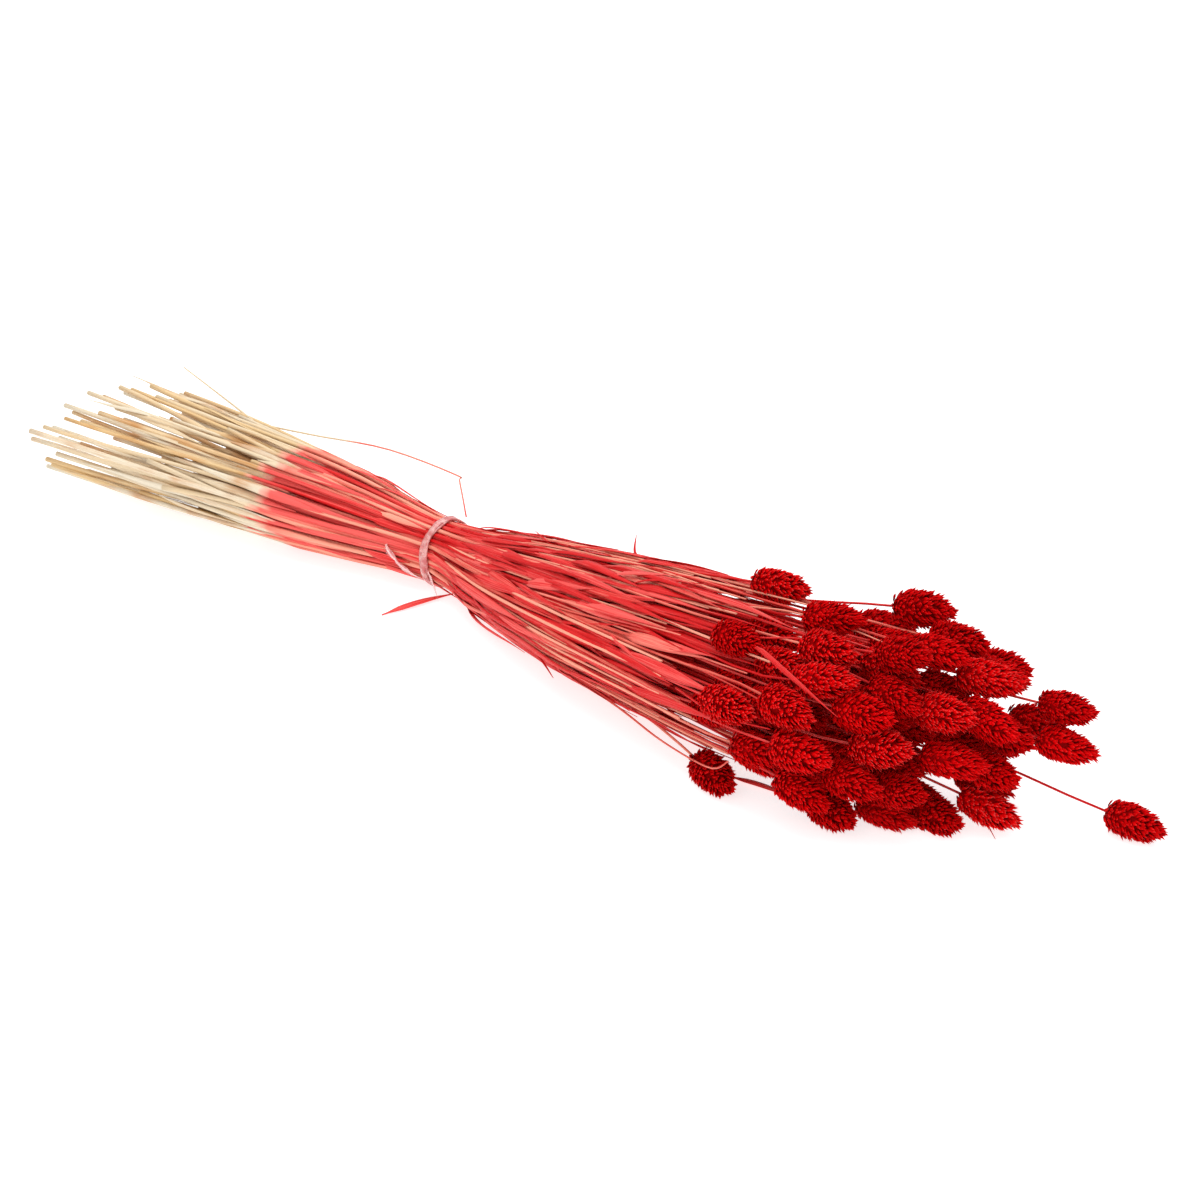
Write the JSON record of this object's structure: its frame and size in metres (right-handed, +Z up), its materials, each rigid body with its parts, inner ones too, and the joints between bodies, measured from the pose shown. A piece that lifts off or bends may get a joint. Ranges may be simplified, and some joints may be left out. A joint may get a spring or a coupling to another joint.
{
  "type": "tied bunch of canary grass seed heads",
  "caption": "Tied bunch of dried, red-dyed canary grass lying down: slender culms pinched at a tie, fanning out to a cluster of oval scaly seed heads.",
  "frame": {"origin": "under the middle of the bunch's box, on the surface that the bunch lies on", "axes": "+X along the bunch towards the seed heads, +Z up"},
  "size_m": [0.748, 0.1582, 0.0935],
  "materials": {
    "dyed_grass": "dry, matt, dyed plant fibre",
    "tie_elastic": "glossy, translucent elastic"
  },
  "bodies": {
    "root": {"stalks_01": "dyed_grass", "stalks_02": "dyed_grass", "stalks_03": "dyed_grass", "stalks_04": "dyed_grass", "stalks_05": "dyed_grass", "stalks_06": "dyed_grass", "stalks_07": "dyed_grass", "stalks_08": "dyed_grass", "stalks_09": "dyed_grass", "stalks_10": "dyed_grass", "stalks_11": "dyed_grass", "stalks_12": "dyed_grass", "stalks_13": "dyed_grass", "stalks_14": "dyed_grass", "stalks_15": "dyed_grass", "stalks_16": "dyed_grass", "stalks_17": "dyed_grass", "stalks_18": "dyed_grass", "stalks_19": "dyed_grass", "stalks_20": "dyed_grass", "stalks_21": "dyed_grass", "stalks_22": "dyed_grass", "stalks_23": "dyed_grass", "stalks_24": "dyed_grass", "stalks_25": "dyed_grass", "stalks_26": "dyed_grass", "stalks_27": "dyed_grass", "stalks_28": "dyed_grass", "stalks_29": "dyed_grass", "stalks_30": "dyed_grass", "stalks_31": "dyed_grass", "stalks_32": "dyed_grass", "stalks_33": "dyed_grass", "stalks_34": "dyed_grass", "stalks_35": "dyed_grass", "stalks_36": "dyed_grass", "stalks_37": "dyed_grass", "tie": "tie_elastic"}
  },
  "joints": []
}
